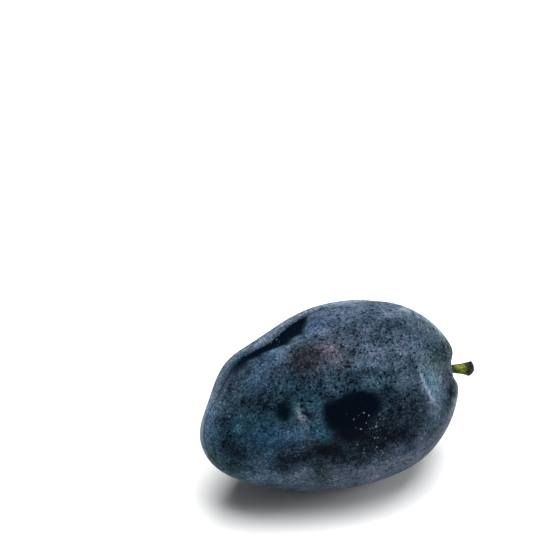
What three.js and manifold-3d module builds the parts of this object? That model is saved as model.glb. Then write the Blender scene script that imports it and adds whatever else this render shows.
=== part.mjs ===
// A dark blue prune plum, lying on its side, with the short stub of its stalk.
// Lengths are in millimetres. +Z is up. The long axis of the fruit is level, along X, with the stalk at +X.
// The origin is under the middle of the long axis, on the small flat spot that the fruit rests on.

import * as THREE from 'three';
import { mergeVertices } from 'three/addons/utils/BufferGeometryUtils.js';
import Module from 'manifold-3d';

// Driving dimensions of the body
const HALF_LENGTH = 28.0;
const MEAN_RADIUS = 17.75;
const AXIS_HEIGHT = 17.1;
const ROLL_DEG = 21.5;

// How the radius round the axis departs from an ellipse, in mm.
// "c" runs from -1 at the tip to +1 at the stalk, and the angle starts at the suture.
const SUTURE_SIDE = 0.7;
const CHEEK_SIDE = -0.3;
const TWO_CHEEKS = 0.6;
const STALK_HALF_GAIN = 3.1;
const STALK_HALF_SUTURE = 0.3;
const AXIS_BEND = -3.0;
const END_TUCK = -1.2;
const END_SUTURE = 0.5;
const END_CHEEK = 0.2;
const TIP_TAPER = -1.7;

// Suture: a shallow furrow with a fine crease at its bottom and one raised lip. It fades in at the tip,
// deepens towards the stalk, and its line runs into the middle of the stalk's cavity, each between two "c".
// Its line leans off the top towards +Y and wavers: each bow is a bell round "at", "deg" at its middle.
const SUTURE_LEAN_DEG = 6.2;
const SUTURE_BOWS = [
  { at: -0.14, span: 0.15, deg: 2.6 },
  { at: -0.42, span: 0.17, deg: -8.0 },
  { at: -0.55, span: 0.21, deg: 9.0 },
];
const FURROW_DEPTH = 0.55;
const FURROW_WIDTH = 2.4;
const CREASE_DEPTH = 0.3;
const CREASE_WIDTH = 0.5;
const LIP_HEIGHT = 0.2;
const LIP_OFFSET = 3.0;
const LIP_WIDTH = 1.2;
const SUTURE_FADES_IN = [-0.99, -0.81];
const SUTURE_DEEPENS = [0.2, 0.95];
const SUTURE_DEEPENING = 0.5;
const SUTURE_RUNS_IN = [0.7, 0.97];

// Cavity that the stalk stands in
const CAVITY_DEPTH = 3.1;
const CAVITY_RADIUS = 2.9;
const CAVITY_BEGINS = [0.3, 0.9];

// Crescent hollow on the near cheek, running from the cavity to a fine ridge
const HOLLOW_START_X = 12.8;
const HOLLOW_CURL = 0.05;
const HOLLOW_TOP_DEG = -70;
const HOLLOW_STEP = 3.0;
const HOLLOW_DEPTH = 0.8;
const HOLLOW_DEPTH_AT_STALK = 1.3;
const HOLLOW_DEG = -86;
const HOLLOW_DEG_AT_STALK = -83;
const HOLLOW_HALF_WIDTH = 5.6;
const HOLLOW_HALF_WIDTH_AT_STALK = 3.2;
const HOLLOW_WIDE_X = 14;
const HOLLOW_NARROW_X = 23;
const RIDGE_HEIGHT = 0.16;
const RIDGE_WIDTH = 0.6;
const RIDGE_SET = 0.3;
const RIDGE_DEG = -80;
const RIDGE_HALF_LENGTH = 7.2;

// Scar of the flower at the tip, and the soft unevenness of grown flesh
const TIP_SCAR_DEPTH = 0.3;
const TIP_SCAR_RADIUS = 1.6;
const TIP_SCAR_BEGINS = [0.5, 0.9];
const WAVES = [
  { height: 0.05, perMm: 0.42, perTurn: 2, start: 0.6 },
  { height: 0.04, perMm: 0.31, perTurn: -3, start: 2.1 },
];

// Broad swellings and flats of the flesh: where each is along ("c") and round (degrees from the suture),
// how far it reaches each way, and its height, less than nothing where the flesh is flatter
const SWELLINGS = [
  { at: -0.61, deg: 26, reach: 0.16, reachDeg: 38, height: 0.58 },
  { at: -0.876, deg: 41, reach: 0.156, reachDeg: 31, height: -0.84 },
  { at: 0.49, deg: -147, reach: 0.36, reachDeg: 17, height: 0.3 },
  { at: 0.9, deg: -111, reach: 0.12, reachDeg: 25, height: -0.25 },
];
const SWELLING_FADE = 0.3;

// Stalk stub: where it leaves the cavity floor, how it leans and how thick it is
const STALK_LENGTH = 10.6;
const STALK_YAW_DEG = -15;
const STALK_DIP_DEG = 11;
const STALK_SAG = 0.1;
const STALK_FOOT_RADIUS = 0.9;
const STALK_NECK_RADIUS = 0.78;
const STALK_TOP_RADIUS = 1.22;
const STALK_COLLAR_RADIUS = 1.42;
const STALK_END_RADIUS = 0.95;
const COLLAR_RAGGEDNESS = 0.13;
const COLLAR_BEGINS = [0.75, 0.95];
const FOOT_SUNK = 0.9;
const SOCKET_REACH = 3.0;
const GAP = 0.3;

// How finely the surfaces are divided
const ROUND_STEPS = 64;
const LENGTH_STEPS = 44;
const SUTURE_CROWDING = 0.6;
const END_CROWDING = 0.05;
const STALK_ROUND_STEPS = 18;

const TURN = 2 * Math.PI;
const rad = THREE.MathUtils.degToRad;
const deg = THREE.MathUtils.radToDeg;
const smoothstep = THREE.MathUtils.smoothstep;
const lerp = THREE.MathUtils.lerp;
const bell = (x) => Math.exp(-x * x);
const plateau = (x) => Math.exp(-(x ** 4));
const halfTurn = (angle) => angle - TURN * Math.round(angle / TURN);

// Radius round the long axis at "c" along it and "angle" from the suture, before the ends close it
function girth(c, angle) {
  const up = Math.cos(angle);
  const side = Math.sin(angle);
  const round = MEAN_RADIUS + SUTURE_SIDE * up + CHEEK_SIDE * side + TWO_CHEEKS * Math.cos(2 * angle);
  const taper = STALK_HALF_GAIN + STALK_HALF_SUTURE * up + AXIS_BEND * side;
  const ends = END_TUCK + END_SUTURE * up + END_CHEEK * side;
  return round + c * taper + c * c * ends + c ** 3 * TIP_TAPER;
}

// Height of the swellings together, each a bell along the fruit and round it, faded out at the fruit's ends
function swelling(c, closing, angle) {
  let height = 0;
  for (const { at, deg: middle, reach, reachDeg, height: top } of SWELLINGS) {
    height += top * bell((c - at) / reach) * bell(deg(halfTurn(angle - rad(middle))) / reachDeg);
  }
  return height * smoothstep(closing, 0, SWELLING_FADE);
}

// Depth of the suture under the round body: furrow and crease, less the raised lip beyond them.
// It starts at the tip, follows its bowed line and ends in the stalk's cavity.
function sutureDepth(c, point) {
  let lean = SUTURE_LEAN_DEG;
  for (const { at, span, deg } of SUTURE_BOWS) {
    lean += deg * bell((c - at) / span);
  }
  const bowedLine = Math.hypot(point.y, point.z) * Math.sin(rad(lean));
  const sideways = point.y - lerp(bowedLine, 0, smoothstep(c, ...SUTURE_RUNS_IN));
  const pastCavity = Math.min(0, point.z);
  const away = Math.sign(sideways) * Math.hypot(sideways, pastCavity);
  const furrow = FURROW_DEPTH * bell(away / FURROW_WIDTH);
  const crease = CREASE_DEPTH / (1 + (away / CREASE_WIDTH) ** 2);
  const lip = LIP_HEIGHT * bell((away - LIP_OFFSET) / LIP_WIDTH);
  const startsAtTip = smoothstep(c, ...SUTURE_FADES_IN);
  const deeperAtStalk = 1 + SUTURE_DEEPENING * smoothstep(c, ...SUTURE_DEEPENS);
  return startsAtTip * deeperAtStalk * (furrow + crease - lip);
}

// Depth of the crescent hollow, less the fine ridge along its edge
function hollowDepth(x, angle, radius) {
  const place = deg(halfTurn(angle));
  const edge = HOLLOW_START_X + HOLLOW_CURL * (radius * rad(place - HOLLOW_TOP_DEG)) ** 2;
  const along = smoothstep(x, HOLLOW_WIDE_X, HOLLOW_NARROW_X);
  const middle = lerp(HOLLOW_DEG, HOLLOW_DEG_AT_STALK, along);
  const halfWidth = lerp(HOLLOW_HALF_WIDTH, HOLLOW_HALF_WIDTH_AT_STALK, along);
  const floor = lerp(HOLLOW_DEPTH, HOLLOW_DEPTH_AT_STALK, along);
  const across = plateau((radius * rad(place - middle)) / halfWidth);
  const ridgeAcross = bell((x - edge + RIDGE_SET) / RIDGE_WIDTH);
  const ridgeAlong = plateau((radius * rad(place - RIDGE_DEG)) / RIDGE_HALF_LENGTH);
  return floor * smoothstep(x - edge, 0, HOLLOW_STEP) * across - RIDGE_HEIGHT * ridgeAcross * ridgeAlong;
}

// A point of the skin. "s" runs from 0 at the tip to 1 at the stalk.
function skinPoint(s, angle) {
  const c = -Math.cos(Math.PI * s);
  const closing = Math.sin(Math.PI * s);
  const radius = closing * girth(c, angle);
  const point = new THREE.Vector3(HALF_LENGTH * c, radius * Math.sin(angle), radius * Math.cos(angle));
  const squares = new THREE.Vector3(HALF_LENGTH ** 2, MEAN_RADIUS ** 2, MEAN_RADIUS ** 2);
  const outward = point.clone().divide(squares).normalize();

  let relief = swelling(c, closing, angle);
  for (const { height, perMm, perTurn, start } of WAVES) {
    relief += closing * height * Math.sin(perMm * point.x + perTurn * angle + start);
  }
  const depth = sutureDepth(c, point) + hollowDepth(point.x, angle, radius) - relief;

  const offAxis = Math.hypot(point.y, point.z);
  const cavity = (CAVITY_DEPTH * smoothstep(c, ...CAVITY_BEGINS)) / (1 + (offAxis / CAVITY_RADIUS) ** 4);
  const scar = TIP_SCAR_DEPTH * bell(offAxis / TIP_SCAR_RADIUS) * smoothstep(-c, ...TIP_SCAR_BEGINS);

  point.addScaledVector(outward, -depth);
  point.x += scar - cavity;
  return point;
}

// Turns a body point about the long axis, so that the suture leans back, and lifts it to rest
function lieDown(point) {
  point.applyAxisAngle(new THREE.Vector3(1, 0, 0), -rad(ROLL_DEG));
  point.z += AXIS_HEIGHT;
  return point;
}

// The whole skin, closed, from a sphere whose vertices are moved to the skin
function fruitGeometry() {
  const geometry = new THREE.SphereGeometry(1, ROUND_STEPS, LENGTH_STEPS);
  const position = geometry.attributes.position;
  const uv = geometry.attributes.uv;
  const pole = 0.5 / ROUND_STEPS;
  for (let i = 0; i < position.count; i++) {
    const v = uv.getY(i);
    const atPole = v === 0 || v === 1;
    const u = TURN * (uv.getX(i) - (atPole ? pole : 0));
    const s = v - END_CROWDING * Math.sin(TURN * v);
    const angle = -(u - SUTURE_CROWDING * Math.sin(u));
    const point = lieDown(skinPoint(s, angle));
    position.setXYZ(i, point.x, point.y, point.z);
  }
  return geometry;
}

const wasm = await Module();
wasm.setup();

// A closed mesh with shared vertices, as a solid that can be joined and cut
function toSolid(geometry) {
  const bare = geometry.clone();
  bare.deleteAttribute('normal');
  bare.deleteAttribute('uv');
  const merged = mergeVertices(bare);
  const vertProperties = new Float32Array(merged.attributes.position.array);
  const triVerts = new Uint32Array(merged.index.array);
  return new wasm.Manifold(new wasm.Mesh({ numProp: 3, vertProperties, triVerts }));
}

function toGeometry(solid) {
  const mesh = solid.getMesh();
  const geometry = new THREE.BufferGeometry();
  geometry.setAttribute('position', new THREE.BufferAttribute(new Float32Array(mesh.vertProperties), 3));
  geometry.setIndex(new THREE.BufferAttribute(new Uint32Array(mesh.triVerts), 1));
  geometry.computeVertexNormals();
  return geometry;
}

// Where the stalk stands: the cavity floor, the direction it leaves in, and two directions across it
const stalkRoot = lieDown(skinPoint(1, 0));
const stalkAlong = new THREE.Vector3(1, 0, 0)
  .applyAxisAngle(new THREE.Vector3(0, 1, 0), rad(STALK_DIP_DEG))
  .applyAxisAngle(new THREE.Vector3(0, 0, 1), rad(STALK_YAW_DEG));
const stalkAcross = new THREE.Vector3(0, 1, 0).cross(stalkAlong).normalize();

// Middle line of the stalk, "far" mm from the cavity floor, with a slight sag
function stalkLine(far) {
  const point = stalkRoot.clone().addScaledVector(stalkAlong, far);
  point.z -= STALK_SAG * Math.sin((Math.PI * far) / STALK_LENGTH);
  return point;
}

// A solid of revolution round the stalk's line. The profile's points are (radius, distance from the floor).
function alongStalk(profile, raggedness) {
  const geometry = new THREE.LatheGeometry(profile, STALK_ROUND_STEPS);
  const position = geometry.attributes.position;
  const third = stalkAcross.clone().cross(stalkAlong);
  for (let i = 0; i < position.count; i++) {
    const far = position.getY(i);
    const around = Math.atan2(position.getX(i), position.getZ(i));
    const torn = Math.sin(3 * around + 0.7) + 0.6 * Math.sin(5 * around + 2.0);
    const swell = 1 + raggedness * torn * smoothstep(far / STALK_LENGTH, ...COLLAR_BEGINS);
    const point = stalkLine(far);
    point.addScaledVector(stalkAcross, position.getX(i) * swell);
    point.addScaledVector(third, position.getZ(i) * swell);
    position.setXYZ(i, point.x, point.y, point.z);
  }
  return geometry;
}

// The stub: a foot in the cavity floor, a slim neck, a swelling top and a torn collar with a hollow end
function stalkGeometry() {
  const profile = [
    new THREE.Vector2(0, -FOOT_SUNK),
    new THREE.Vector2(STALK_FOOT_RADIUS, -FOOT_SUNK),
    new THREE.Vector2(STALK_FOOT_RADIUS, 0),
    new THREE.Vector2(STALK_NECK_RADIUS, 0.2 * STALK_LENGTH),
    new THREE.Vector2(STALK_NECK_RADIUS, 0.5 * STALK_LENGTH),
    new THREE.Vector2(lerp(STALK_NECK_RADIUS, STALK_TOP_RADIUS, 0.3), 0.6 * STALK_LENGTH),
    new THREE.Vector2(lerp(STALK_NECK_RADIUS, STALK_TOP_RADIUS, 0.7), 0.7 * STALK_LENGTH),
    new THREE.Vector2(STALK_TOP_RADIUS, 0.82 * STALK_LENGTH),
    new THREE.Vector2(lerp(STALK_TOP_RADIUS, STALK_COLLAR_RADIUS, 0.3), 0.87 * STALK_LENGTH),
    new THREE.Vector2(STALK_COLLAR_RADIUS, 0.91 * STALK_LENGTH),
    new THREE.Vector2(STALK_COLLAR_RADIUS, 0.95 * STALK_LENGTH),
    new THREE.Vector2(STALK_END_RADIUS, STALK_LENGTH),
    new THREE.Vector2(0.6 * STALK_END_RADIUS, 0.99 * STALK_LENGTH),
    new THREE.Vector2(0, 0.97 * STALK_LENGTH),
  ];
  return alongStalk(profile, COLLAR_RAGGEDNESS);
}

// A plug a little wider than the stalk, from under its foot to clear of the cavity's walls. It cuts the
// stalk's socket.
function socketGeometry() {
  const profile = [
    new THREE.Vector2(0, -FOOT_SUNK - GAP),
    new THREE.Vector2(STALK_FOOT_RADIUS + GAP, -FOOT_SUNK - GAP),
    new THREE.Vector2(STALK_FOOT_RADIUS + GAP, SOCKET_REACH),
    new THREE.Vector2(0, SOCKET_REACH),
  ];
  return alongStalk(profile, 0);
}

// Everything under the surface that the fruit rests on, as a slab wider than the fruit
function groundGeometry() {
  const depth = 4;
  const slab = new THREE.BoxGeometry(4 * HALF_LENGTH, 4 * HALF_LENGTH, depth);
  return slab.translate(0, 0, -depth / 2);
}

function makeFruit() {
  const body = toSolid(fruitGeometry());
  const solid = body.subtract(toSolid(groundGeometry())).subtract(toSolid(socketGeometry()));
  const skin = new THREE.MeshStandardMaterial({ color: 0x33404f, roughness: 0.6, metalness: 0 });
  const fruit = new THREE.Mesh(toGeometry(solid), skin);
  fruit.name = 'fruit';
  return fruit;
}

function makeStalk() {
  const bark = new THREE.MeshStandardMaterial({ color: 0x7f8a1f, roughness: 0.7, metalness: 0 });
  const stalk = new THREE.Mesh(stalkGeometry(), bark);
  stalk.name = 'stalk';
  return stalk;
}

const plum = new THREE.Group();
plum.add(makeFruit(), makeStalk());

export default plum;
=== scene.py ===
"""A blue prune plum on a pale floor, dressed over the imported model.

Lengths are in millimetres and are turned into metres where a mesh is made. The fruit's surface is one
formula, worked out on a grid with numpy, and its bloom, rubbed places and specks are a material of nodes.
"""

import math

import bpy
import numpy as np
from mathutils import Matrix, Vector


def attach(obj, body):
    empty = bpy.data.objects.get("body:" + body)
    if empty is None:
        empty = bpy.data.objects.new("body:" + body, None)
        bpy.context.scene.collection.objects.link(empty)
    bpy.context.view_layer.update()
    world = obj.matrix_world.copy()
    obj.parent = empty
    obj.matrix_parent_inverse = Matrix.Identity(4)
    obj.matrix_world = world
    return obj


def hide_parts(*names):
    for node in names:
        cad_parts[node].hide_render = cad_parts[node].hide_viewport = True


MM = 0.001

# The fruit's body: half its length, its mean radius, the height of its axis, and the roll that leans the
# suture back
HALF_LENGTH = 28.0
MEAN_RADIUS = 17.75
AXIS_HEIGHT = 17.1
ROLL = math.radians(21.5)
# Radius gained on the suture's side and on the far cheek, and how much both cheeks are flattened
SUTURE_SIDE = 0.7
CHEEK_SIDE = -0.3
TWO_CHEEKS = 0.6
# Radius gained towards the stalk: all round, on the suture's side, and as a bend of the axis to one side
STALK_HALF_GAIN = 3.1
STALK_HALF_SUTURE = 0.3
AXIS_BEND = -3.0
# Radius gained at both ends: all round, on the suture's side and on the far cheek
END_TUCK = -1.2
END_SUTURE = 0.5
END_CHEEK = 0.2
# A cubic that takes back part of the stalk half's gain at either end
TIP_TAPER = -1.7
# Shallow waves of the skin: their height, and for each its share, radians a mm, waves round it and phase
UNEVEN = 0.05
UNEVEN_WAVES = [(1.0, 0.42, 2, 0.6), (0.8, 0.31, -3, 2.1)]

# Suture: how far its line leans off the top, and the bows in that line: where each is along the fruit, from
# -1 at the tip to 1 at the stalk, how far it reaches, and its height in degrees
SUTURE_LEAN = math.radians(6.2)
SUTURE_BOWS = [(-0.14, 0.15, 2.6), (-0.42, 0.17, -8.0), (-0.55, 0.21, 9.0)]
# Stretches on the same scale over which the suture starts, deepens and goes back to the middle
SUTURE_STARTS = (-0.99, -0.81)
SUTURE_DEEPENS = (0.2, 0.95)
SUTURE_CENTRES = (0.7, 0.97)
DEEPENING = 0.5
# Its furrow, crease and raised lip
FURROW_DEPTH = 0.55
FURROW_WIDTH = 2.4
CREASE_DEPTH = 0.3
CREASE_WIDTH = 0.5
LIP_HEIGHT = 0.2
LIP_OFFSET = 3.0
LIP_WIDTH = 1.2

# Cavity of the stalk and scar of the flower at the tip, each with the stretch over which it sets in
CAVITY_DEPTH = 3.1
CAVITY_RADIUS = 2.9
CAVITY_STARTS = (0.3, 0.9)
TIP_SCAR_DEPTH = 0.3
TIP_SCAR_RADIUS = 1.6
TIP_SCAR_STARTS = (0.5, 0.9)

# Crescent hollow on the near cheek, a step down whose edge is a parabola: its lowest X, its curl, and the
# angle round the fruit about which it curls. Then the step's length, and its depth, middle and half width as
# pairs, for the two ends of a stretch of X.
HOLLOW_START_X = 12.8
HOLLOW_CURL = 0.05
HOLLOW_TOP = math.radians(-70)
HOLLOW_STEP = 3.0
HOLLOW_DEPTH = (0.8, 1.3)
HOLLOW_MIDDLE = (math.radians(-86), math.radians(-83))
HOLLOW_HALF_WIDTH = (5.6, 3.2)
HOLLOW_SPAN_X = (14, 23)
# Fine ridge along the step's edge: its height, its width, how far it is set back, and its middle and half
# length round the fruit
RIDGE_HEIGHT = 0.16
RIDGE_WIDTH = 0.6
RIDGE_SET = 0.3
RIDGE_MIDDLE = math.radians(-80)
RIDGE_HALF_LENGTH = 7.2

# Broad swellings and flats of the flesh: where each is along the fruit, from -1 to 1, and round it in degrees
# from the suture, how far it reaches along and round, and its height in mm. They fade out at both ends.
SWELLINGS = [
    (-0.61, 26, 0.16, 38, 0.58),
    (-0.876, 41, 0.156, 31, -0.84),
    (0.49, -147, 0.36, 17, 0.3),
    (0.90, -111, 0.12, 25, -0.25),
]
SWELLING_FADE = 0.3

# The stalk: its length, how it points, its sag, how deep its foot stands, and how far its end droops and juts
STALK_LENGTH = 10.6
STALK_DIP = math.radians(11)
STALK_YAW = math.radians(-15)
STALK_SAG = 0.1
FOOT_SUNK = 0.9
END_DROP = 0.2
END_JUT = 0.05
# Places along the stalk and its radius there: a slim neck, a swelling top, a collar, and an end that draws in
STALK_PROFILE = [
    (-0.9, 0.9), (0, 0.9), (2.2, 0.8), (4.9, 0.78), (5.8, 0.82), (6.6, 0.92), (7.5, 1.08), (8.4, 1.18),
    (9.0, 1.25), (9.4, 1.36), (9.7, 1.42), (10.0, 1.34), (10.3, 1.1), (10.5, 0.75), (10.6, 0.5),
]
# Striations of the bark: depth as a share of the radius, their count, and how far and how fast they waver
STRIATION_DEPTH = 0.025
STRIATIONS = 13
STRIATION_WAVER = 0.6
STRIATION_WAVER_RATE = 0.9
# Knots: height as a share of the radius, radians a mm, count round it, and where they set in
KNOT_HEIGHT = 0.03
KNOT_RATE = 2.1
KNOTS_ROUND = 2
KNOTS_START = (4, 6)
# Ragged collar: where it sets in, and its waves: height in mm, count round it and phase
COLLAR_STARTS = (8.8, 9.4)
COLLAR_WAVES = [(0.08, 5, 2.0), (0.05, 9, 0.4)]
# Torn tips of the stalk's collar: place along it, angle round it, half length, height and half width
TORN_TIPS = [
    (9.7, 0.1, 0.28, 0.3, 0.5),
    (9.15, 3.0, 0.22, 0.55, 0.25),
    (9.8, 1.9, 0.3, 0.15, 0.4),
    (9.5, 4.9, 0.3, 0.2, 0.3),
]

# Rows and columns of the fine grids: the skin's run from tip to stalk, the stalk's from foot to end
SKIN_ROWS = 256
SKIN_COLUMNS = 380
STALK_ROWS = 150
STALK_COLUMNS = 96
# How softly the skin bends into the flat spot that the fruit rests on
REST_SOFTNESS = 0.04

# The photograph's view: the side of its frame in pixels, pixels to a mm at the plum, where the viewer stands,
# and the height of the point over the origin that is seen at a known pixel. Then the camera's own sizes.
FRAME_PX = 560
PX_PER_MM = 5.0
VIEW_AZIMUTH = math.radians(-28.5)
VIEW_ELEVATION = math.radians(37.0)
VIEW_DISTANCE = 420.0
AIM_HEIGHT = 16.57
AIM_PX = (329.8, 404.3)
SENSOR_WIDTH = 36.0
CAMERA_NEAR = 10.0

# The studio: half the floor's side, its drop under the fruit, the sky's strength, and for each soft light its
# place, side and power
FLOOR_HALF = 1500.0
FLOOR_DROP = 0.02
SKY_STRENGTH = 0.12
LIGHTS = {
    "top_light": ((150, 100, 950), 1000, 23),
    "right_fill": ((900, -500, 450), 700, 6),
}


def view_axes():
    """Unit vectors of the photograph's view: to its right, up it, and back towards the viewer."""
    a, e = VIEW_AZIMUTH, VIEW_ELEVATION
    back = np.array([math.sin(a) * math.cos(e), -math.cos(a) * math.cos(e), math.sin(e)])
    right = np.array([math.cos(a), math.sin(a), 0.0])
    return right, np.cross(back, right), back


def view_target():
    """The point in the middle of the frame, at the plum's depth, in mm."""
    right, up, _ = view_axes()
    off_right = (AIM_PX[0] - FRAME_PX / 2) / PX_PER_MM
    off_up = (FRAME_PX / 2 - AIM_PX[1]) / PX_PER_MM
    return np.array([0, 0, AIM_HEIGHT]) - off_right * right - off_up * up


def to_pixels(points):
    """Where points land in the frame: each offset across the view over its depth, times the focal length."""
    right, up, back = view_axes()
    offset = points - view_target()
    focal = PX_PER_MM * VIEW_DISTANCE / (VIEW_DISTANCE - offset @ back)
    return FRAME_PX / 2 + focal * (offset @ right), FRAME_PX / 2 - focal * (offset @ up)


def smoothstep(x, low, high):
    """Cubic step from 0 at low to 1 at high."""
    t = np.clip((x - low) / (high - low), 0, 1)
    return t * t * (3 - 2 * t)


def bell(x):
    """Gauss curve of height 1."""
    return np.exp(-x * x)


def plateau(x):
    """A flat-topped bell: e to minus the fourth power of x."""
    return np.exp(-(x**4))


def half_turn(angle):
    """The same angle between minus and plus half a turn."""
    return angle - 2 * math.pi * np.round(angle / (2 * math.pi))


def blend(pair, share):
    """From the first value of the pair to the second."""
    return pair[0] + (pair[1] - pair[0]) * share


def lie_down(points):
    """Turns body points about the long axis, so that the suture leans back, and lifts them to rest."""
    cos, sin = math.cos(ROLL), math.sin(ROLL)
    x, y, z = points[..., 0], points[..., 1], points[..., 2]
    return np.stack([x, y * cos + z * sin, z * cos - y * sin + AXIS_HEIGHT], -1)


def body_radius(c, angle):
    """Radius before the ends close it: a mean plus sines and cosines of the angle from the suture, each
    changing with c, the place along the fruit from -1 at the tip to 1 at the stalk."""
    up, side = np.cos(angle), np.sin(angle)
    round_part = MEAN_RADIUS + SUTURE_SIDE * up + CHEEK_SIDE * side + TWO_CHEEKS * np.cos(2 * angle)
    taper = STALK_HALF_GAIN + STALK_HALF_SUTURE * up + AXIS_BEND * side
    ends = END_TUCK + END_SUTURE * up + END_CHEEK * side
    return round_part + c * taper + c * c * ends + c**3 * TIP_TAPER


def from_suture(c, y, z):
    """Signed distance from the suture's line, which bows off the top and ends in the stalk's cavity."""
    lean = SUTURE_LEAN + sum(math.radians(deg) * bell((c - at) / span) for at, span, deg in SUTURE_BOWS)
    line = np.hypot(y, z) * np.sin(lean) * (1 - smoothstep(c, *SUTURE_CENTRES))
    sideways = y - line
    return np.sign(sideways) * np.hypot(sideways, np.minimum(0, z))


def suture_depth(c, away):
    """Furrow as a bell, crease as one over a square, less a lip as a bell beside them."""
    furrow = FURROW_DEPTH * bell(away / FURROW_WIDTH)
    crease = CREASE_DEPTH / (1 + (away / CREASE_WIDTH) ** 2)
    lip = LIP_HEIGHT * bell((away - LIP_OFFSET) / LIP_WIDTH)
    starts = smoothstep(c, *SUTURE_STARTS)
    return starts * (1 + DEEPENING * smoothstep(c, *SUTURE_DEEPENS)) * (furrow + crease - lip)


def hollow_and_ridge(x, angle, radius):
    """Depth in mm of a step down past a parabola across the cheek, inside a plateau that narrows towards
    the stalk, and a bell of height 1 that follows the step's edge, cut off by a plateau at both ends."""
    place = half_turn(angle)
    edge = HOLLOW_START_X + HOLLOW_CURL * (radius * (place - HOLLOW_TOP)) ** 2
    share = smoothstep(x, *HOLLOW_SPAN_X)
    across = plateau(radius * (place - blend(HOLLOW_MIDDLE, share)) / blend(HOLLOW_HALF_WIDTH, share))
    floor = blend(HOLLOW_DEPTH, share) * smoothstep(x - edge, 0, HOLLOW_STEP)
    ridge = bell((x - edge + RIDGE_SET) / RIDGE_WIDTH)
    along = plateau(radius * (place - RIDGE_MIDDLE) / RIDGE_HALF_LENGTH)
    return floor * across, ridge * along


def swelling(c, closing, angle):
    """Height in mm of the swellings together, each a bell along the fruit times a bell round it, faded out
    at both ends."""
    height = 0.0
    for at, round_at, reach, round_reach, top in SWELLINGS:
        off = half_turn(angle - math.radians(round_at)) / math.radians(round_reach)
        height = height + top * bell((c - at) / reach) * bell(off)
    return height * smoothstep(closing, 0, SWELLING_FADE)


def skin_points(s, angle):
    """The skin at s along it, 0 at the tip and 1 at the stalk: an ellipsoid with body_radius round it, plus
    swellings and waves and less suture and hollow along its outward direction, less the cavity along X."""
    c = -np.cos(np.pi * s) + 0 * angle
    closing = np.sin(np.pi * s) + 0 * angle
    radius = closing * body_radius(c, angle)
    x, y, z = HALF_LENGTH * c, radius * np.sin(angle), radius * np.cos(angle)
    point = np.stack([x, y, z], -1)
    outward = point / np.array([HALF_LENGTH, MEAN_RADIUS, MEAN_RADIUS]) ** 2
    outward /= np.linalg.norm(outward, axis=-1, keepdims=True)

    away = from_suture(c, y, z)
    hollow, ridge = hollow_and_ridge(x, angle, radius)
    waves = 0.0
    for share, rate, count, phase in UNEVEN_WAVES:
        waves = waves + share * np.sin(rate * x + count * angle + phase)
    relief = swelling(c, closing, angle) + RIDGE_HEIGHT * ridge + UNEVEN * closing * waves
    depth = suture_depth(c, away) + hollow - relief
    point -= outward * depth[..., None]

    off_axis = np.hypot(y, z)
    cavity = CAVITY_DEPTH * smoothstep(c, *CAVITY_STARTS) / (1 + (off_axis / CAVITY_RADIUS) ** 4)
    scar = TIP_SCAR_DEPTH * bell(off_axis / TIP_SCAR_RADIUS) * smoothstep(-c, *TIP_SCAR_STARTS)
    point[..., 0] += scar - cavity
    return point, away, ridge


# Marks on the side that faces the viewer: middle x and y, half width, half height and tilt, in pixels and
# degrees of the photograph, and how strong the mark is. First, where the bloom is rubbed off the skin, and a
# shadow under the stalk painted as bare skin.
RUBBED = {
    "big_patch": (353, 407, 29, 17, -15, 1.15),
    "patch_foot": (353, 431, 27, 14, -4, 0.6),
    "maroon_patch": (323, 450, 19, 9, 3, 0.56),
    "left_spot": (285, 411, 13, 12, 20, 0.6),
    "middle_spot": (307, 413, 5, 5, 30, 0.42),
    # A painted shadow just under the stalk, made as bare dark skin
    "shadow_under_stalk": (450, 374, 4, 4, 10, 0.6),
    "left_smudge": (231, 448, 9, 7, 30, 0.36),
    "left_streak": (226, 421, 12, 5, 15, 0.28),
    "top_smear": (396, 325, 12, 4, 10, 0.36),
    "shoulder_dots": (436, 356, 8, 10, 20, 0.36),
}
# Where the skin under the bloom is reddish
RUDDY = {
    "maroon_patch": (321, 451, 18, 9, 5, 1.0),
    "brown_patch": (303, 361, 18, 16, -20, 1.0),
    "pink_patch": (328, 355, 17, 16, 0, 0.54),
    "beside_pink": (345, 360, 14, 18, 0, 0.45),
    "light_smear": (301, 417, 6, 10, -15, 0.9),
    "patch_core": (340, 405, 14, 9, -20, 0.5),
    "top_right": (398, 322, 44, 20, 25, 0.32),
    "low_right": (400, 460, 50, 14, -25, 0.45),
    "low_middle": (335, 478, 26, 8, 0, 0.4),
}
# Where the bloom is thicker, and where the rim and ridge marks paint highlights as thicker bloom
THICK = {
    "top": (350, 312, 62, 12, -5, 0.12),
    "upper_right": (400, 348, 34, 34, 0, 0.04),
    "hollow": (433, 384, 9, 17, -15, 0.32),
    # Along the hollow's ridge: thicker bloom and a painted highlight
    "ridge_top_bloom_and_highlight": (421, 374, 2.5, 9, 0, 0.22),
    "ridge_bend_bloom_and_highlight": (428, 396, 1.8, 11, -31, 0.42),
    "right_light": (408, 385, 12, 12, 0, 0.12),
    # Painted rim highlights along the outline, as pale bloom; on the right partly thicker bloom too
    "right_rim_bloom_and_highlight": (456, 402, 4, 22, 6, 0.28),
    "top_rim_highlight": (408, 309, 24, 2.5, 24, 0.4),
    "side_rim_highlight": (442, 332, 18, 2.5, 48, 0.5),
    "above_seam": (268, 362, 22, 9, -35, 0.16),
    "under_seam": (305, 338, 22, 7, -30, 0.10),
    "pink_patch": (329, 353, 12, 11, 0, 0.06),
    "blue_field": (292, 436, 20, 11, 10, 0.16),
    "low_field": (262, 466, 14, 12, -20, 0.18),
    "low_violet": (296, 474, 20, 7, 0, 0.12),
    "light_smear": (301, 416, 4, 9, -18, 0.5),
    "low_right": (410, 458, 38, 11, -28, 0.14),
    "low_band": (372, 469, 30, 8, -12, 0.1),
    "bottom": (310, 480, 70, 8, 2, 0.10),
    "left_end": (207, 424, 11, 26, 5, 0.31),
    "teal_spot": (322, 434, 9, 8, 20, 0.18),
}
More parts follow.
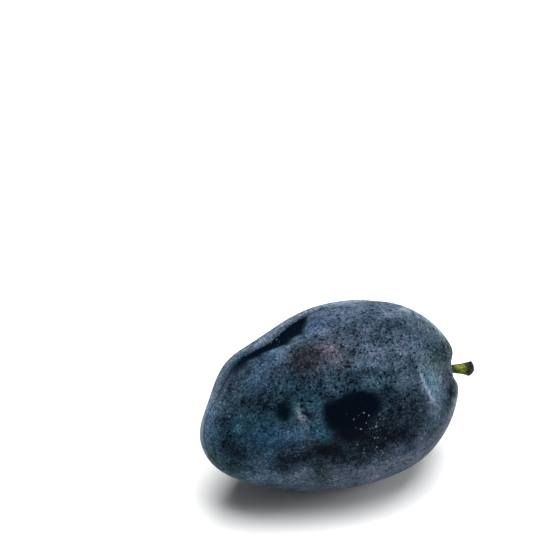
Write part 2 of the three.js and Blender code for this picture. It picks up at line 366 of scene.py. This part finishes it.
# Where the bloom is thinner
THIN = {
    "maroon_patch": (326, 453, 20, 9, 3, 0.16),
    "brown_patch": (303, 361, 19, 15, -20, 0.3),
    "left": (276, 398, 40, 26, -15, 0.2),
    "left_upper": (240, 372, 18, 10, -50, 0.14),
    "far_left": (228, 440, 10, 26, -25, 0.16),
    "low_left": (244, 462, 20, 14, 20, 0.18),
    "blue_dots": (272, 448, 30, 10, 5, 0.1),
    "low_smudge": (281, 464, 14, 6, -12, 0.26),
    "low_smear": (299, 459, 14, 6, -8, 0.26),
    "left_smudge": (231, 448, 10, 8, 30, 0.12),
    "left_streak": (226, 421, 13, 6, 15, 0.14),
    "right_middle": (398, 412, 30, 24, -12, 0.26),
    "under_patch": (372, 441, 40, 15, -8, 0.4),
    "above_patch": (354, 382, 12, 8, 30, 0.24),
    "right_of_patch": (389, 392, 11, 8, 20, 0.26),
    # Darker on the lobe beside the stalk
    "lobe": (450, 391, 5, 13, 10, 0.42),
    "band_above": (380, 374, 22, 5, 6, 0.18),
    "beside_teal": (316, 392, 9, 10, 0, 0.12),
    "low_middle": (345, 460, 40, 7, -3, 0.18),
    "low_specks": (318, 476, 10, 7, 0, 0.16),
    "streak": (392, 324, 18, 6, 12, 0.24),
    "smudge": (372, 338, 14, 6, -10, 0.14),
    "shoulder": (444, 355, 11, 13, 30, 0.24),
    "right_upper": (408, 360, 8, 8, 0, 0.12),
}
# Where pale specks of dust lie on the skin
DUSTY = {
    "on_patch": (372, 434, 16, 17, 0, 1.0),
    "patch_middle": (348, 413, 26, 10, 0, 0.28),
    "shoulder": (438, 350, 14, 18, 20, 0.5),
    "low_right": (395, 450, 40, 16, -20, 0.35),
    "left": (235, 410, 40, 40, -45, 0.4),
    "low": (275, 475, 40, 10, 0, 0.35),
    "seam_strip": (285, 335, 24, 8, -38, 0.36),
}
# Where dark dots break the bloom
PITTED = {
    "upper_middle": (362, 350, 60, 34, -5, 1.0),
    "left": (300, 395, 44, 20, -10, 0.6),
    "hollow": (438, 384, 12, 14, 0, 0.9),
}
# Where the skin looks teal
TEAL = {
    "seam_strip": (252, 356, 18, 5, -30, 0.5),
    "spot": (322, 434, 11, 10, 20, 1.2),
    "low_left": (250, 440, 56, 30, 0, 0.55),
    "left": (270, 400, 50, 34, -20, 0.3),
    "low_edge": (234, 468, 22, 12, 25, 0.3),
    "hollow": (430, 384, 9, 14, -10, 0.6),
    "middle": (340, 395, 60, 30, 0, 0.4),
}
# Where it looks blue
BLUE = {
    "blue_field": (278, 440, 34, 13, 5, 1.1),
    "left_end": (209, 428, 10, 22, 0, 0.9),
    "low": (268, 468, 22, 11, 0, 0.7),
    "above_left": (268, 362, 18, 12, -35, 0.8),
    "beside_strip": (312, 326, 18, 9, -25, 0.6),
    "left_middle": (258, 386, 12, 7, 0, 0.7),
    "low_right": (404, 450, 16, 9, -25, 0.6),
    "top": (340, 312, 40, 12, 0, 0.3),
    "lobe": (442, 398, 6, 12, 10, 0.6),
}
# Where it looks olive
OLIVE = {
    "lobe": (451, 392, 7, 12, 10, 0.9),
    "hollow": (430, 362, 14, 12, 0, 0.7),
    "shoulder": (444, 350, 12, 16, 20, 1.0),
    "low_edge": (226, 466, 24, 9, 25, 0.9),
    "low_specks": (320, 472, 14, 11, 0, 0.9),
    "left_spot": (290, 404, 20, 14, 0, 0.6),
    "left": (245, 405, 16, 20, 0, 0.4),
    "top_right": (425, 322, 34, 10, 35, 0.6),
    # Olive tone of the right rim, partly a painted rim highlight
    "right_rim_bloom_and_highlight": (455, 402, 6, 26, 6, 0.8),
}

# All the marks by the name of the attribute that holds them
MARKS = {
    "rubbed": RUBBED,
    "ruddy": RUDDY,
    "thick": THICK,
    "thin": THIN,
    "teal": TEAL,
    "blue": BLUE,
    "olive": OLIVE,
    "dusty": DUSTY,
    "pitted": PITTED,
}
# Marks strewn over the hidden side: how many of each, their reach in mm from and to, and their strength
STREWN = {
    "rubbed": (9, 1.2, 3.4, 0.62),
    "ruddy": (6, 2.0, 5.0, 0.9),
    "thick": (16, 2.0, 7.0, 0.22),
    "thin": (16, 2.0, 7.0, 0.26),
    "teal": (7, 3.0, 8.0, 0.7),
    "blue": (8, 3.0, 8.0, 0.8),
    "olive": (5, 3.0, 6.0, 0.7),
    "dusty": (5, 3.0, 6.0, 0.6),
    "pitted": (6, 5.0, 10.0, 0.9),
}
# How far the skin turns to the viewer, or away, over which the marks of either side set in
SEEN_FADE = (-0.15, 0.0)
HIDDEN_FADE = (0.0, 0.3)

# Waves that make the marks' outlines uneven: their length in mm and how far they shift a mark, in pixels
DRIFT = [(9.0, 1.4), (4.0, 1.6), (1.8, 0.9)]
DRIFT_SINES = 4
SEED = 11

# Bloom worn off beside the suture, on its near side: at each X, how wide the strip is and how bare. Its edge
# on the suture is in mm, and the one down the cheek in shares of its width.
SEAM_WORN = [
    (-21.0, 3.4, 0.16), (-19.0, 4.1, 0.46), (-16.2, 4.6, 0.58), (-14.0, 4.3, 0.64), (-12.6, 4.0, 0.72),
    (-11.0, 4.0, 0.82), (-9.4, 5.0, 0.86), (-7.5, 6.4, 0.88), (-5.2, 7.0, 0.86), (-3.6, 6.3, 0.8),
    (-1.9, 4.6, 0.68), (0.0, 2.2, 0.5), (1.8, 1.0, 0.25), (3.0, 1.0, 0.0),
]
SEAM_WORN_EDGE = (-0.3, 0.2)
SEAM_WORN_FADE = (0.5, 1.3)
# Bloom kept thick on the lip, on the suture's far side, and on the hollow's ridge, where it also paints their
# highlights
LIP_BLOOM_AND_HIGHLIGHT = 0.25
LIP_BAND_OFFSET = 2.2
LIP_BAND_WIDTH = 1.3
RIDGE_BLOOM_AND_HIGHLIGHT = 0.3


def drift(points, draw):
    """Waves of many directions: for each length in DRIFT, a few sines of the place, each along a direction
    of its own drawn at random."""
    total = np.zeros(points.shape[:-1])
    for length, height in DRIFT:
        for _ in range(DRIFT_SINES):
            direction = draw.normal(size=3)
            turns = points @ direction / (np.linalg.norm(direction) * length) + draw.random()
            total += height / math.sqrt(DRIFT_SINES) * np.sin(2 * math.pi * turns)
    return total


def marks_field(points, facing, marks):
    """Sum over the marks of strength times a bell of the tilted distance in the view, on the viewer's side.
    The place in the view drifts, so that no mark is a plain ellipse."""
    draw = np.random.default_rng(SEED)
    px, py = to_pixels(points)
    px, py = px + drift(points, draw), py + drift(points, draw)
    field = np.zeros(px.shape)
    for x, y, half_width, half_height, tilt, strength in marks.values():
        cos, sin = math.cos(math.radians(tilt)), math.sin(math.radians(tilt))
        across = ((px - x) * cos + (py - y) * sin) / half_width
        down = ((py - y) * cos - (px - x) * sin) / half_height
        field += strength * bell(np.hypot(across, down))
    return field * smoothstep(facing, *SEEN_FADE)


def strewn_field(points, facing, draw, count, reach_from, reach_to, strength):
    """Sum of bells of the distance from points picked at random on the skin, on the side hidden from the
    viewer. The skin's place drifts, as in marks_field."""
    drifted = points + drift(points, draw)[..., None] / PX_PER_MM
    flat = points.reshape(-1, 3)
    field = np.zeros(facing.shape)
    for middle in flat[draw.integers(len(flat), size=count)]:
        reach = draw.uniform(reach_from, reach_to)
        field += strength * bell(np.linalg.norm(drifted - middle, axis=-1) / reach)
    return field * smoothstep(-facing, *HIDDEN_FADE)


def grid_faces(rows, columns):
    """Quads of a grid that closes round its columns, with one pole vertex before it and one after it."""
    first = 1 + columns * np.arange(rows - 1)[:, None] + np.arange(columns)[None, :]
    beside = 1 + columns * np.arange(rows - 1)[:, None] + (np.arange(columns)[None, :] + 1) % columns
    quads = np.stack([first, first + columns, beside + columns, beside], -1).reshape(-1, 4)
    ring = 1 + np.arange(columns)
    next_ring = 1 + (np.arange(columns) + 1) % columns
    last = 1 + rows * columns
    start = np.stack([np.zeros(columns, int), ring, next_ring], -1)
    shift = (rows - 1) * columns
    end = np.stack([np.full(columns, last), next_ring + shift, ring + shift], -1)
    return quads, np.concatenate([start, end])


def make_mesh(name, points, quads, triangles, attributes, material):
    """One closed smooth mesh in metres from points in mm, with its float attributes."""
    mesh = bpy.data.meshes.new(name)
    corners = np.concatenate([quads.ravel(), triangles.ravel()]).astype(np.int32)
    sizes = np.concatenate([np.full(len(quads), 4), np.full(len(triangles), 3)])
    starts = np.concatenate([[0], np.cumsum(sizes)[:-1]]).astype(np.int32)
    mesh.vertices.add(len(points))
    mesh.vertices.foreach_set("co", (points * MM).astype(np.float32).ravel())
    mesh.loops.add(len(corners))
    mesh.loops.foreach_set("vertex_index", corners)
    mesh.polygons.add(len(sizes))
    mesh.polygons.foreach_set("loop_start", starts)
    mesh.update(calc_edges=True)
    mesh.polygons.foreach_set("use_smooth", np.ones(len(sizes), bool))
    for key, values in attributes.items():
        attribute = mesh.attributes.new(key, "FLOAT", "POINT")
        attribute.data.foreach_set("value", values.astype(np.float32).ravel())
    mesh.materials.append(material)
    mesh.validate()
    piece = bpy.data.objects.new(name, mesh)
    bpy.context.scene.collection.objects.link(piece)
    return piece


# Share of red, green and blue in a colour's brightness
EYE_WEIGHTS = (0.2126, 0.7152, 0.0722)


class Wire:
    """A socket of a material's node. Arithmetic on it adds Math nodes and gives a new Wire."""

    def __init__(self, finish, socket):
        self.finish = finish
        self.socket = socket

    def math(self, operation, *others):
        """A Math node on this wire and any others."""
        return self.finish.node("Math", dict(enumerate([self, *others])), operation=operation)

    def __add__(self, other):
        return self.math("ADD", other)

    def __sub__(self, other):
        return self.math("SUBTRACT", other)

    def __mul__(self, other):
        return self.math("MULTIPLY", other)

    def __rsub__(self, other):
        return self.finish.node("Math", {0: other, 1: self}, operation="SUBTRACT")

    __radd__ = __add__
    __rmul__ = __mul__


class Finish:
    """A material under construction."""

    def __init__(self, name):
        self.material = bpy.data.materials.new(name)
        self.material.use_nodes = True
        self.tree = self.material.node_tree
        self.tree.nodes.clear()

    def node(self, kind, sockets=None, output=0, stops=None, **settings):
        """Adds a shader node: first its settings and ramp stops, then the values and links of its sockets."""
        made = self.tree.nodes.new("ShaderNode" + kind)
        for key, value in settings.items():
            setattr(made, key, value)
        for index, (place, colour) in enumerate(stops or []):
            elements = made.color_ramp.elements
            stop = elements[index] if index < len(elements) else elements.new(place)
            stop.position, stop.color = place, colour
        for key, value in (sockets or {}).items():
            if isinstance(value, Wire):
                self.tree.links.new(value.socket, made.inputs[key])
            else:
                made.inputs[key].default_value = value
        return Wire(self, made.outputs[output]) if len(made.outputs) else made

    def millimetres(self):
        """Object coordinates in mm."""
        place = self.node("TexCoord", output="Object")
        return self.node("VectorMath", {0: place, "Scale": 1 / MM}, operation="SCALE")

    def attribute(self, name):
        """A value that the mesh holds at each vertex."""
        return self.node("Attribute", output="Fac", attribute_name=name)

    def noise(self, place, size, detail=3.0, roughness=0.55, distortion=0.0):
        """Noise whose blotches are about size mm across, from 0 to 1."""
        values = {"Vector": place, "Scale": 1 / size, "Detail": detail}
        values.update({"Roughness": roughness, "Distortion": distortion})
        return self.node("TexNoise", values, output="Fac")

    def cells(self, place, size):
        """Distance to the nearest of points strewn about size mm apart, over that size."""
        return self.node("TexVoronoi", {"Vector": place, "Scale": 1 / size}, output="Distance")

    def cell_shades(self, place, size):
        """The same cells, each of one random brightness: their random colours weighed as the eye does."""
        colour = self.node("TexVoronoi", {"Vector": place, "Scale": 1 / size}, output="Color")
        return self.node("VectorMath", {0: colour, 1: EYE_WEIGHTS}, output="Value", operation="DOT_PRODUCT")

    def step(self, value, low, high, to_low=0.0, to_high=1.0):
        """Smooth step of a value from low to high, onto to_low and to_high."""
        sockets = {"Value": value, "From Min": low, "From Max": high, "To Min": to_low, "To Max": to_high}
        return self.node("MapRange", sockets, interpolation_type="SMOOTHSTEP")

    def mix(self, share, first, second, blend_type="MIX"):
        """Mixes the second colour into the first, or multiplies it on, by a share."""
        sockets = {0: share, 6: first, 7: second}
        return self.node("Mix", sockets, output=2, data_type="RGBA", blend_type=blend_type)

    def stretch(self, place, factors):
        """Coordinates times a factor on each axis."""
        return self.node("VectorMath", {0: place, 1: factors}, operation="MULTIPLY")

    def bump(self, height, distance, strength):
        """Normal of a height field, whose unit is distance in metres."""
        sockets = {"Height": height, "Distance": distance, "Strength": strength}
        return self.node("Bump", sockets, output="Normal")

    def done(self, shader):
        """Links the shader to the output and gives the material."""
        self.node("OutputMaterial", {"Surface": shader})
        return self.material


# Skin colours, from no bloom at all to the thickest, and the colour of dust
BLOOM_STOPS = [
    (0.00, (0.0012, 0.0022, 0.0055, 1)),
    (0.20, (0.0030, 0.0090, 0.0165, 1)),
    (0.45, (0.0170, 0.0350, 0.0550, 1)),
    (0.70, (0.0620, 0.0920, 0.1320, 1)),
    (1.00, (0.1750, 0.2200, 0.2750, 1)),
]
DUST_COLOUR = (0.14, 0.17, 0.19, 1)
# Clouds of violet: the size of their noise, how much a teal mark holds them off, their edges and their tint
VIOLET_SIZE = 6.0
VIOLET_LESS_TEAL = 0.4
VIOLET_EDGE = (0.44, 0.62)
VIOLET_TINT = (1.10, 0.97, 1.03, 1)
# Tints: the mark that asks for each, the pattern that breaks it up and by how much, its edges and its colour
TINTS = [
    ("teal", "cloud", 0.9, (0.05, 0.75), (0.50, 1.0, 1.05, 1)),
    ("blue", "cloud", 0.6, (0.1, 0.8), (0.82, 0.98, 1.18, 1)),
    ("olive", "mottle", 0.6, (0.1, 0.8), (0.95, 1.01, 0.84, 1)),
    ("ruddy", "cloud", 0.7, (0.15, 0.9), (1.50, 0.90, 0.82, 1)),
]

# Patterns of the bloom, from broad to fine: size in mm, detail, roughness and distortion of each noise
PATTERNS = {
    "cloud": (5.0, 4, 0.6, 0.4),
    "mottle": (1.6, 3, 0.6, 0.6),
    "lace": (0.45, 2, 0.7, 0.0),
    "grain": (0.22, 1, 0.6, 0.0),
}
# Streaks that run along the fruit: the same, on a place that is squeezed along X
STREAKS = (0.9, 3, 0.6, 0.0)
ALONG_X = (0.16, 1.0, 1.0)
# How much each pattern adds to the bloom's thickness, to how far it is rubbed, and to the outline of its dots
THICKNESS_WEIGHTS = {"cloud": 0.7, "streaks": 0.25, "mottle": 0.35, "lace": 1.0, "grain": 0.7}
WORN_WEIGHTS = {"cloud": 0.25, "mottle": 0.25, "lace": 0.35, "streaks": 0.3}
PIT_WEIGHTS = {"lace": 0.9, "mottle": 0.8}
PINHOLE_WEIGHTS = {"mottle": 1.2}
# Spacing in mm of the dark dots, the pinholes and the dust, and the size of the pale specks
PIT_SPACING = 1.0
PINHOLE_SPACING = 0.45
DUST_SPACING = 0.55
SPECK_SIZE = 0.32
# Values between which each sets in or ends
PIT_EDGE = (0.14, 0.32)
PINHOLE_EDGE = (0.18, 0.42)
DUST_EDGE = (0.43, 0.54)
DUSTY_EDGE = (0.25, 0.5)
SPECK_EDGE = (0.58, 0.76)
WORN_EDGE = (0.28, 0.66)
# Distances in mm from the suture over which the crease's painted shade ends and the bare skin turns glossy
CREASE_SHADE_EDGE = (0.15, 0.7)
GLOSS_STARTS = (5, 7)
# Mean thickness of the bloom, what is lost or gained at each kind of place, and what pitted marks add to it
MEAN_BLOOM = 0.48
PIT_LOSS = 0.10
PINHOLE_LOSS = 0.12
SPECK_GAIN = 0.22
PITTED_PITS = 0.33
PITTED_PINHOLES = 0.12
PITTED_SPECKS = -0.2
WORN_LOSS = 0.95
# Bloom taken off in the crease, a painted shade
CREASE_SHADE_LOSS = 0.15
DUST_GAIN = 0.4
# Thickness over which the bare skin's shine gives way to the bloom, and the height of its relief in mm
SHINE_FADES = (0.05, 0.3)
RELIEF_HEIGHT = 0.06


def bloom_patterns(f, place):
    """The noises of the bloom, each around 0."""
    patterns = {name: f.noise(place, *shape) - 0.5 for name, shape in PATTERNS.items()}
    patterns["streaks"] = f.noise(f.stretch(place, ALONG_X), *STREAKS) - 0.5
    return patterns


def weighted(patterns, weights):
    """Sum of each pattern times its weight."""
    return sum(patterns[name] * weight for name, weight in weights.items())


def dust_on_skin(f, place, patterns):
    """Specks of dust at the dusty marks: the middles of those cells whose own brightness is low."""
    size = f.cells(place, DUST_SPACING) + f.cell_shades(place, DUST_SPACING)
    return f.step(size, *DUST_EDGE, 1, 0) * f.step(f.attribute("dusty") + patterns["cloud"], *DUSTY_EDGE)


def bloom_thickness(f, place, patterns, dust, from_crease):
    """Wax of the bloom, about 0 where the skin is bare and 1 where it is thickest: the marks and patterns,
    less dark dots and pinholes, more in pale specks, gone where it is rubbed, and thinned in the crease as
    painted shade."""
    pits = f.step(f.cells(place, PIT_SPACING) + weighted(patterns, PIT_WEIGHTS), *PIT_EDGE, 1, 0)
    pinholes = f.cells(place, PINHOLE_SPACING) + weighted(patterns, PINHOLE_WEIGHTS)
    pinholes = f.step(pinholes, *PINHOLE_EDGE, 1, 0)
    specks = f.step(f.noise(place, SPECK_SIZE, detail=1), *SPECK_EDGE)
    worn = f.step(f.attribute("rubbed") + weighted(patterns, WORN_WEIGHTS), *WORN_EDGE)
    # Painted shade along the suture's crease, as thinner bloom
    crease = f.step(from_crease, *CREASE_SHADE_EDGE, 1, 0)
    pitted = f.attribute("pitted")

    wax = MEAN_BLOOM + f.attribute("thick") - f.attribute("thin") + weighted(patterns, THICKNESS_WEIGHTS)
    wax = wax + specks * (SPECK_GAIN + pitted * PITTED_SPECKS)
    wax = wax - pits * (PIT_LOSS + pitted * PITTED_PITS)
    wax = wax - pinholes * (PINHOLE_LOSS + pitted * PITTED_PINHOLES)
    return wax * (1 - worn * WORN_LOSS) - crease * CREASE_SHADE_LOSS + dust * DUST_GAIN


def skin_tone(f, place, patterns, wax, dust):
    """Colour of the skin through its bloom, multiplied by the tints, with the dust on top."""
    tone = f.node("ValToRGB", {0: wax}, stops=BLOOM_STOPS)
    violet = f.noise(place, VIOLET_SIZE, detail=2) - f.attribute("teal") * VIOLET_LESS_TEAL
    tone = f.mix(f.step(violet, *VIOLET_EDGE), tone, VIOLET_TINT, "MULTIPLY")
    for mark, pattern, share, edge, tint in TINTS:
        amount = f.step(f.attribute(mark) + patterns[pattern] * share, *edge)
        tone = f.mix(amount, tone, tint, "MULTIPLY")
    return f.mix(dust, tone, DUST_COLOUR)


def skin_finish():
    """Plum skin: purple-black and glossy where bare, under a lacy coat of wax bloom of changing thickness."""
    f = Finish("plum_skin")
    place = f.millimetres()
    from_crease = f.attribute("seam").math("ABSOLUTE")
    patterns = bloom_patterns(f, place)
    dust = dust_on_skin(f, place, patterns)
    wax = bloom_thickness(f, place, patterns, dust, from_crease)
    tone = skin_tone(f, place, patterns, wax, dust)

    relief = f.bump(wax, RELIEF_HEIGHT * MM, 0.6)
    glossy = f.node("BsdfPrincipled", {
        "Base Color": tone, "Roughness": 0.5, "Normal": relief, "Specular IOR Level": 0.0,
        "Coat Weight": f.step(from_crease, *GLOSS_STARTS) * 0.04, "Coat Roughness": 0.3,
    })
    waxy = f.node("BsdfPrincipled", {
        "Base Color": tone, "Roughness": 0.7, "Normal": relief, "Specular IOR Level": 0.08,
        "Sheen Weight": 0.16, "Sheen Roughness": 0.15, "Sheen Tint": (0.95, 1.0, 1.0, 1),
    })
    return f.done(f.node("MixShader", {0: f.step(wax, *SHINE_FADES), 1: glossy, 2: waxy}))


def pole_packed(field):
    """A grid's values as one list: its first pole once, its rows, and its last pole once."""
    return np.concatenate([field[:1, 0], field[1:-1].reshape(-1, *field.shape[2:]), field[-1:, 0]])


def viewer_facing(points):
    """How far the grid's outward direction turns to the viewer: 1 straight at it, 0 at the outline."""
    along_rows = np.gradient(points, axis=0)
    round_columns = np.roll(points, -1, 1) - np.roll(points, 1, 1)
    normal = np.cross(along_rows, round_columns)
    normal /= np.linalg.norm(normal, axis=-1, keepdims=True) + 1e-9
    return normal @ view_axes()[2]


def worn_beside_suture(body, points, away):
    """The worn strip's bareness along X, times a step at the suture and a fade down the cheek whose width
    changes along X and whose line wanders with the drift."""
    stations, widths, bareness = np.array(SEAM_WORN).T
    wander = drift(points, np.random.default_rng(SEED)) / PX_PER_MM
    down = (wander - away) / np.interp(body[..., 0], stations, widths)
    beside = smoothstep(-away, *SEAM_WORN_EDGE) * (1 - smoothstep(down, *SEAM_WORN_FADE))
    return np.interp(body[..., 0], stations, bareness) * beside


def make_fruit(material):
    """The whole skin on a fine grid, closed at the tip and under the stalk, pressed flat where it rests."""
    s = np.linspace(0, 1, SKIN_ROWS + 2)[:, None]
    angle = 2 * math.pi * np.arange(SKIN_COLUMNS)[None, :] / SKIN_COLUMNS
    body, away, ridge = skin_points(s, angle)
    points = lie_down(body)
    points[..., 2] = REST_SOFTNESS * np.logaddexp(0, points[..., 2] / REST_SOFTNESS)
    facing = viewer_facing(points)

    fields = {name: marks_field(points, facing, marks) for name, marks in MARKS.items()}
    fields["rubbed"] += worn_beside_suture(body, points, away)
    # Pale lip beside the suture: thicker bloom and a painted highlight
    fields["thick"] += LIP_BLOOM_AND_HIGHLIGHT * bell((away - LIP_BAND_OFFSET) / LIP_BAND_WIDTH)
    # Pale line along the hollow's ridge: thicker bloom and a painted highlight
    fields["thick"] += RIDGE_BLOOM_AND_HIGHLIGHT * ridge**3
    draw = np.random.default_rng(SEED)
    attributes = {"seam": pole_packed(away)}
    for name, field in fields.items():
        attributes[name] = pole_packed(field + strewn_field(points, facing, draw, *STREWN[name]))
    quads, triangles = grid_faces(SKIN_ROWS, SKIN_COLUMNS)
    return make_mesh("plum_fruit", pole_packed(points), quads, triangles, attributes, material)


def stalk_line(far):
    """Middle line of the stalk, far mm from the cavity's floor: a straight line with a sine's sag."""
    root = lie_down(skin_points(np.array([1.0]), np.array([0.0]))[0])[0]
    along, _, _ = stalk_axes()
    sag = STALK_SAG * np.sin(math.pi * far / STALK_LENGTH)
    return root + far[..., None] * along - sag[..., None] * np.array([0, 0, 1])


def stalk_axes():
    """Unit vectors along the stalk and across it, level and upright: +X dipped, then turned about Z."""
    dip, yaw = STALK_DIP, STALK_YAW
    flat = np.array([math.cos(yaw), math.sin(yaw), 0.0])
    along = math.cos(dip) * flat - math.sin(dip) * np.array([0, 0, 1.0])
    level = np.cross([0, 0, 1.0], flat)
    return along, level, np.cross(along, level)


def stalk_surface_radius(far, around):
    """Radius of the bark: the profile, straight between its stations, times one plus sines for the striations
    and the knots, plus sines of the angle for the ragged collar and a bell for each torn tip."""
    stations, radii = np.array(STALK_PROFILE).T
    waver = STRIATION_WAVER * np.sin(STRIATION_WAVER_RATE * far)
    radius = np.interp(far, stations, radii) * (1 + STRIATION_DEPTH * np.sin(STRIATIONS * around + waver))
    knots = np.sin(KNOT_RATE * far + KNOTS_ROUND * around) * smoothstep(far, *KNOTS_START)
    radius = radius * (1 + KNOT_HEIGHT * knots)
    ragged = sum(height * np.sin(count * around + phase) for height, count, phase in COLLAR_WAVES)
    radius = radius + smoothstep(far, *COLLAR_STARTS) * ragged
    for place, angle, length, height, width in TORN_TIPS:
        radius = radius + height * bell((far - place) / length) * bell(half_turn(around - angle) / width)
    return radius


def make_stalk(material):
    """Rings round the stalk's line at the bark's radius, with a pole at the foot and one past the end."""
    share = np.linspace(0, 1, STALK_ROWS)[:, None]
    around = 2 * math.pi * np.arange(STALK_COLUMNS)[None, :] / STALK_COLUMNS
    far = -FOOT_SUNK + (STALK_LENGTH + FOOT_SUNK) * share + 0 * around
    _, level, upright = stalk_axes()
    ring = np.sin(around)[..., None] * level + np.cos(around)[..., None] * upright
    points = stalk_line(far) + stalk_surface_radius(far, around)[..., None] * ring
    start = stalk_line(np.array([-FOOT_SUNK]))
    end = stalk_line(np.array([STALK_LENGTH + END_JUT])) - END_DROP * np.array([0, 0, 1])
    # How far the bark faces the viewer, which paints shade on the stalk's edges
    painted_shade_facing = ring @ view_axes()[2] + 0 * far
    attributes = {
        "far": np.concatenate([[-FOOT_SUNK], far.ravel(), [STALK_LENGTH]]),
        "painted_shade_facing": np.concatenate([[0], painted_shade_facing.ravel(), [0]]),
    }
    packed = np.concatenate([start, points.reshape(-1, 3), end])
    quads, triangles = grid_faces(STALK_ROWS, STALK_COLUMNS)
    return make_mesh("plum_stalk", packed, quads, triangles, attributes, material)


# Bark: dark and light green, painted shade and painted light by how far it faces the viewer, and the painted
# shade of its foot
DARK_GREEN = (0.030, 0.042, 0.004, 1)
LIGHT_GREEN = (0.135, 0.162, 0.012, 1)
PAINTED_SHADE_TINT = (0.40, 0.45, 0.55, 1)
PAINTED_LIGHT_TINT = (1.05, 1.05, 1, 1)
FOOT_SHADE_GREEN = (0.008, 0.015, 0.004, 1)
# Torn wood of the collar, in its grooves and on its edges
TORN_DARK = (0.003, 0.0025, 0.0015, 1)
TORN_LIGHT = (0.018, 0.014, 0.009, 1)
# Sizes in mm of its blotches, its fine grain and its fibres, which are drawn out along X
BLOTCH_SIZE = 0.9
FINE_SIZE = 0.25
FIBRE_SIZE = 0.45
FIBRE_STRETCH = (0.15, 1.0, 1.0)
# Values between which the light green and the painted light facing the viewer set in, and the torn wood
# lightens
GREEN_EDGE = (0.40, 0.62)
PAINTED_SHADE_EDGE = (0.25, 1.0)
TORN_EDGE = (0.4, 0.7)
# Places along the stalk, in mm, over which the foot's painted shade ends and the torn wood starts, and how
# far the blotches shift each
FOOT_SHADE_ENDS = (5.3, 7.4)
FOOT_SHADE_SHIFT = 2.0
TORN_STARTS = (8.3, 8.8)
TORN_SHIFT = 1.6


def stalk_finish():
    """Green bark, with painted shade at the foot and where it turns from the viewer, with a dark brown torn
    collar and end.
    """
    f = Finish("plum_stalk")
    place = f.millimetres()
    far = f.attribute("far")
    blotch = f.noise(place, BLOTCH_SIZE)
    fine = f.noise(place, FINE_SIZE)
    fibres = f.noise(f.stretch(place, FIBRE_STRETCH), FIBRE_SIZE)
    green = f.mix(f.step(blotch * 0.5 + fibres * 0.5, *GREEN_EDGE), DARK_GREEN, LIGHT_GREEN)
    # Painted shade where the bark turns from the viewer, painted light where it faces the viewer
    side = f.mix(f.step(f.attribute("painted_shade_facing") + fibres * 0.3, *PAINTED_SHADE_EDGE), PAINTED_SHADE_TINT, PAINTED_LIGHT_TINT)
    green = f.mix(1.0, green, side, "MULTIPLY")
    # Painted shade at the foot, where the stalk rises from the cavity
    green = f.mix(f.step(far + (blotch - 0.5) * FOOT_SHADE_SHIFT, *FOOT_SHADE_ENDS), FOOT_SHADE_GREEN, green)
    brown = f.mix(f.step(fine, *TORN_EDGE), TORN_DARK, TORN_LIGHT)
    colour = f.mix(f.step(far + (blotch - 0.5) * TORN_SHIFT, *TORN_STARTS), green, brown)
    return f.done(f.node("BsdfPrincipled", {
        "Base Color": colour, "Roughness": 0.55, "Normal": f.bump(fine + blotch, RELIEF_HEIGHT * MM, 0.7),
        "Specular IOR Level": 0.15,
    }))


def make_floor():
    """A wide plain floor just under the fruit."""
    f = Finish("floor")
    material = f.done(f.node("BsdfPrincipled", {"Base Color": (0.9, 0.9, 0.9, 1), "Roughness": 0.9}))
    sides = [(-1, -1), (1, -1), (1, 1), (-1, 1)]
    corners = [(x * FLOOR_HALF * MM, y * FLOOR_HALF * MM, -FLOOR_DROP * MM) for x, y in sides]
    mesh = bpy.data.meshes.new("floor")
    mesh.from_pydata(corners, [], [(0, 1, 2, 3)])
    mesh.materials.append(material)
    floor = bpy.data.objects.new("floor", mesh)
    bpy.context.scene.collection.objects.link(floor)


def make_light(name, place, size, power):
    """A square soft light that faces the fruit. Place and size are in mm."""
    data = bpy.data.lights.new(name, "AREA")
    data.shape = "SQUARE"
    data.size = size * MM
    data.energy = power
    light = bpy.data.objects.new(name, data)
    light.location = Vector(place) * MM
    towards = Vector((0, 0, AXIS_HEIGHT)) * MM - light.location
    light.rotation_mode = "QUATERNION"
    light.rotation_quaternion = towards.to_track_quat("-Z", "Y")
    bpy.context.scene.collection.objects.link(light)


def make_sky(strength):
    """An even white sky."""
    world = bpy.data.worlds.new("studio")
    world.use_nodes = True
    background = world.node_tree.nodes["Background"]
    background.inputs["Color"].default_value = (1, 1, 1, 1)
    background.inputs["Strength"].default_value = strength
    bpy.context.scene.world = world


def make_camera():
    """Looks at view_target from its distance, with a lens that gives the photograph's scale."""
    _, _, back = view_axes()
    data = bpy.data.cameras.new("camera")
    data.sensor_width = SENSOR_WIDTH
    data.lens = PX_PER_MM * VIEW_DISTANCE * SENSOR_WIDTH / FRAME_PX
    data.clip_start = CAMERA_NEAR * MM
    camera = bpy.data.objects.new("camera", data)
    camera.location = Vector(view_target() + VIEW_DISTANCE * back) * MM
    camera.rotation_mode = "QUATERNION"
    camera.rotation_quaternion = Vector(back).to_track_quat("Z", "Y")
    bpy.context.scene.collection.objects.link(camera)
    bpy.context.scene.camera = camera


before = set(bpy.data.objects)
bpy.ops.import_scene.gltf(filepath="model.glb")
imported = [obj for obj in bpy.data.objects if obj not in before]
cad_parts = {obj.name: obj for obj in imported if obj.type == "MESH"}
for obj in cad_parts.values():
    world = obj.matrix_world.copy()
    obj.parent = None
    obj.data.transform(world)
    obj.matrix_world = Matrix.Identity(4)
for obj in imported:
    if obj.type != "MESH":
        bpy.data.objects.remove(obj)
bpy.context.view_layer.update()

make_camera()
make_floor()
make_sky(SKY_STRENGTH)
for name, (place, size, power) in LIGHTS.items():
    make_light(name, place, size, power)
bpy.context.scene.view_settings.view_transform = "Standard"

fruit = make_fruit(skin_finish())
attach(fruit, "root")
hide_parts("fruit")

stalk = make_stalk(stalk_finish())
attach(stalk, "root")
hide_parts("stalk")
